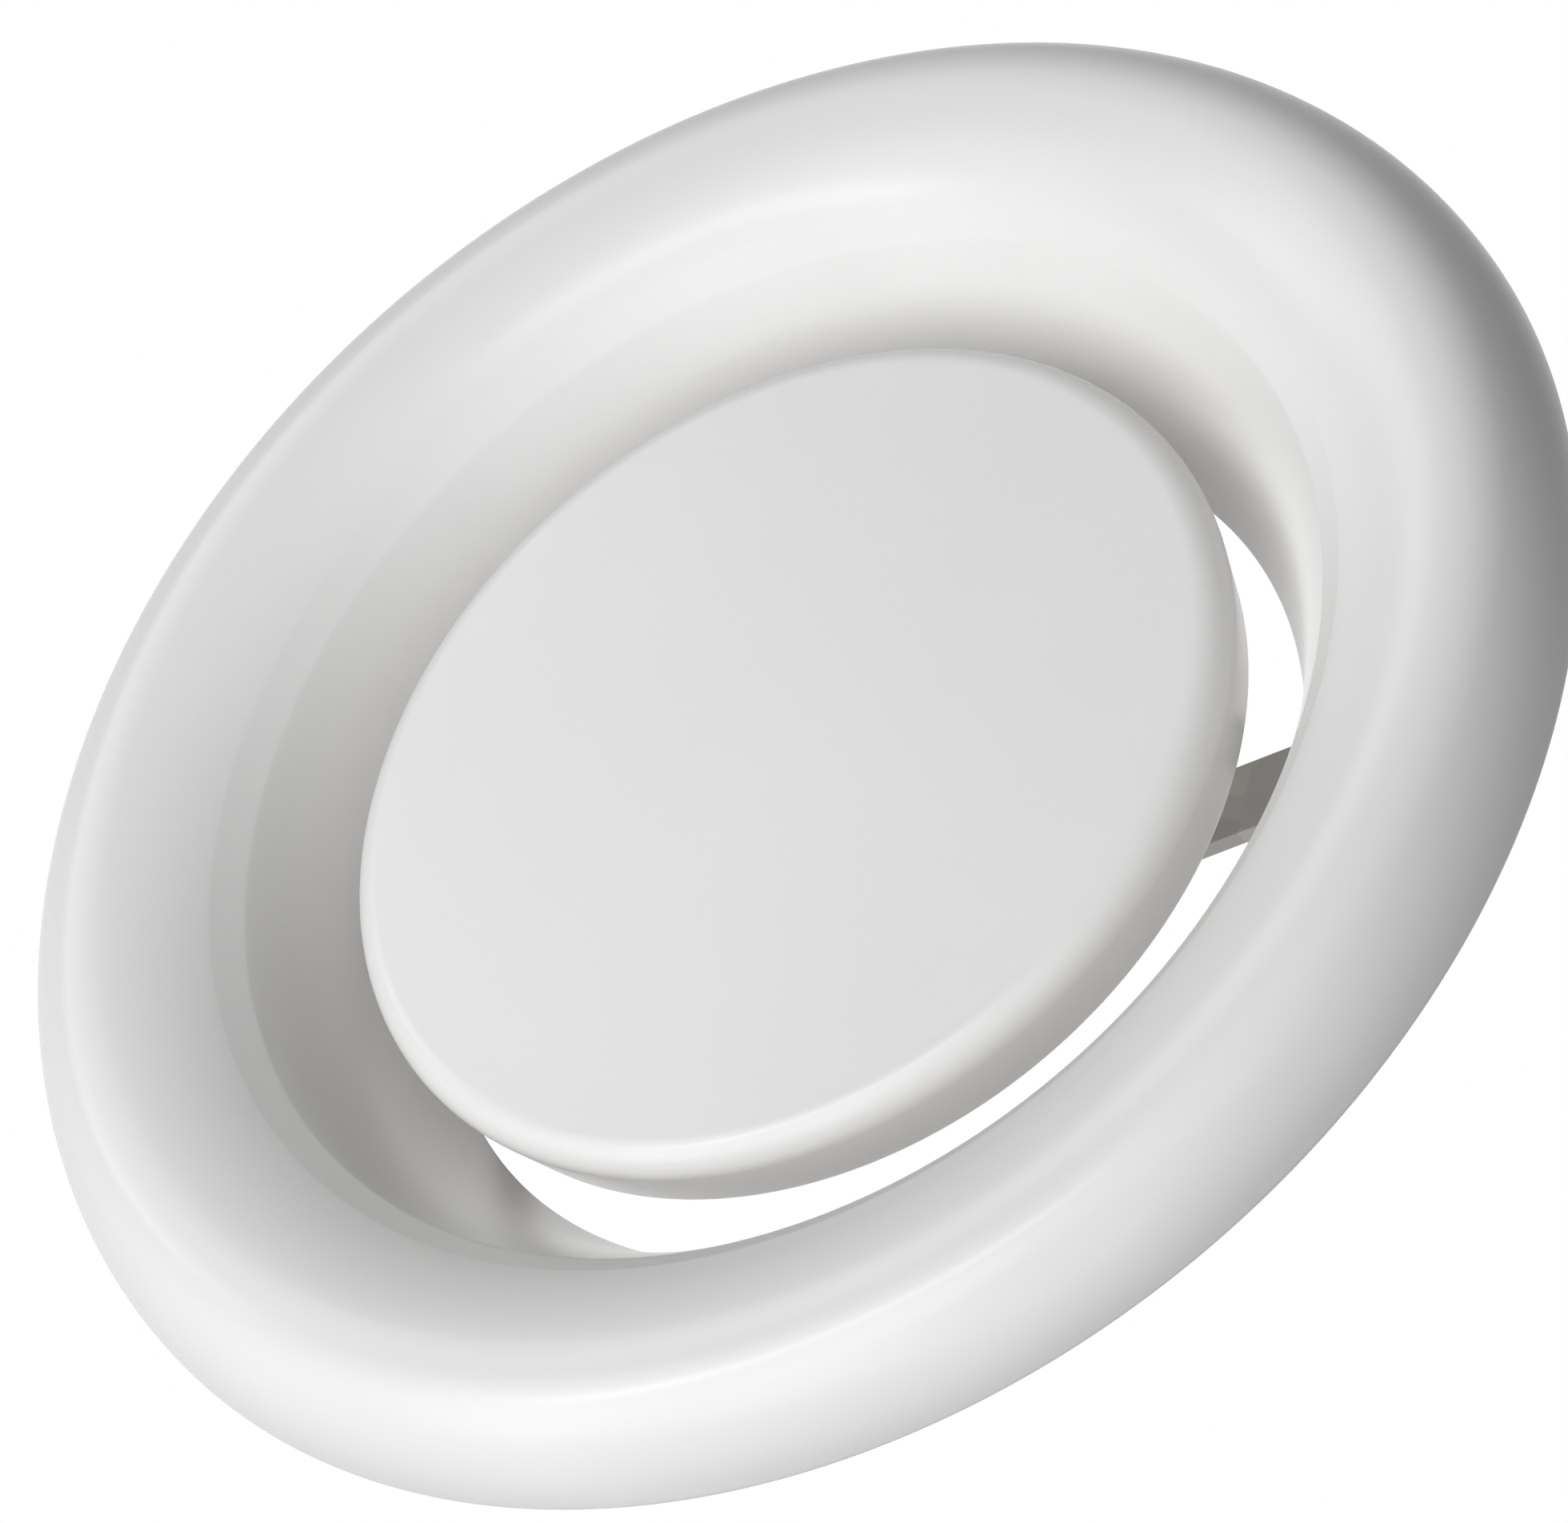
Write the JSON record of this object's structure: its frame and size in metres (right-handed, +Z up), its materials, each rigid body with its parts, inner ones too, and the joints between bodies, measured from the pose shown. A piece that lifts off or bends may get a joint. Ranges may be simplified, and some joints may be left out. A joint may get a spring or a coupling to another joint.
{
  "type": "extract air valve",
  "caption": "Round extract air valve: a drawn white steel ring with a narrowing throat, a flat disc that a screw spindle on a crossbar moves in and out, and a short duct neck.",
  "frame": {"origin": "on the valve's axis, in the wall plane that the rim's flat back meets", "axes": "+Y along the neck into the duct, front face towards -Y, +Z up in the wall pose, crossbar along X"},
  "size_m": [0.137, 0.0482, 0.137],
  "materials": {
    "white_paint": "satin white powder coat",
    "galvanised": "dull galvanised strip",
    "zinc_plate": "bright zinc plate",
    "rivet_metal": "plain aluminium",
    "foam": "matt closed-cell foam"
  },
  "bodies": {
    "housing": {"valve_ring": "white_paint", "neck_collar": "white_paint", "flange_gasket": "foam", "crossbar": "galvanised", "crossbar_rivets": "rivet_metal", "spindle_bush": "zinc_plate"},
    "disc_carrier": {"hub_washer": "zinc_plate"},
    "disc": {"disc_dish": "white_paint", "disc_hub": "zinc_plate", "hub_nut": "zinc_plate", "spindle": "zinc_plate"},
    "lock_carrier": {"lock_washer": "zinc_plate"},
    "lock": {"lock_nut": "zinc_plate"}
  },
  "joints": [
    {"name": "disc_travel", "type": "slide", "parent": "housing", "child": "disc_carrier", "axis": [0, -1, 0], "range_m": [-0.012, 0.006]},
    {"name": "disc_turn", "type": "hinge", "parent": "disc_carrier", "child": "disc", "pos_m": [0, 0, 0], "axis": [0, -1, 0], "range_deg": [-4325, 2165]},
    {"name": "lock_travel", "type": "slide", "parent": "housing", "child": "lock_carrier", "axis": [0, 1, 0], "range_m": [0, 0.002]},
    {"name": "lock_turn", "type": "hinge", "parent": "lock_carrier", "child": "lock", "pos_m": [0, 0.029, 0], "axis": [0, 1, 0], "range_deg": [0, 725]}
  ],
  "couplings": [
    {"joint": "disc_turn", "follows": "disc_travel", "rad_per_m": 6283.2},
    {"joint": "lock_turn", "follows": "lock_travel", "rad_per_m": 6283.2}
  ]
}
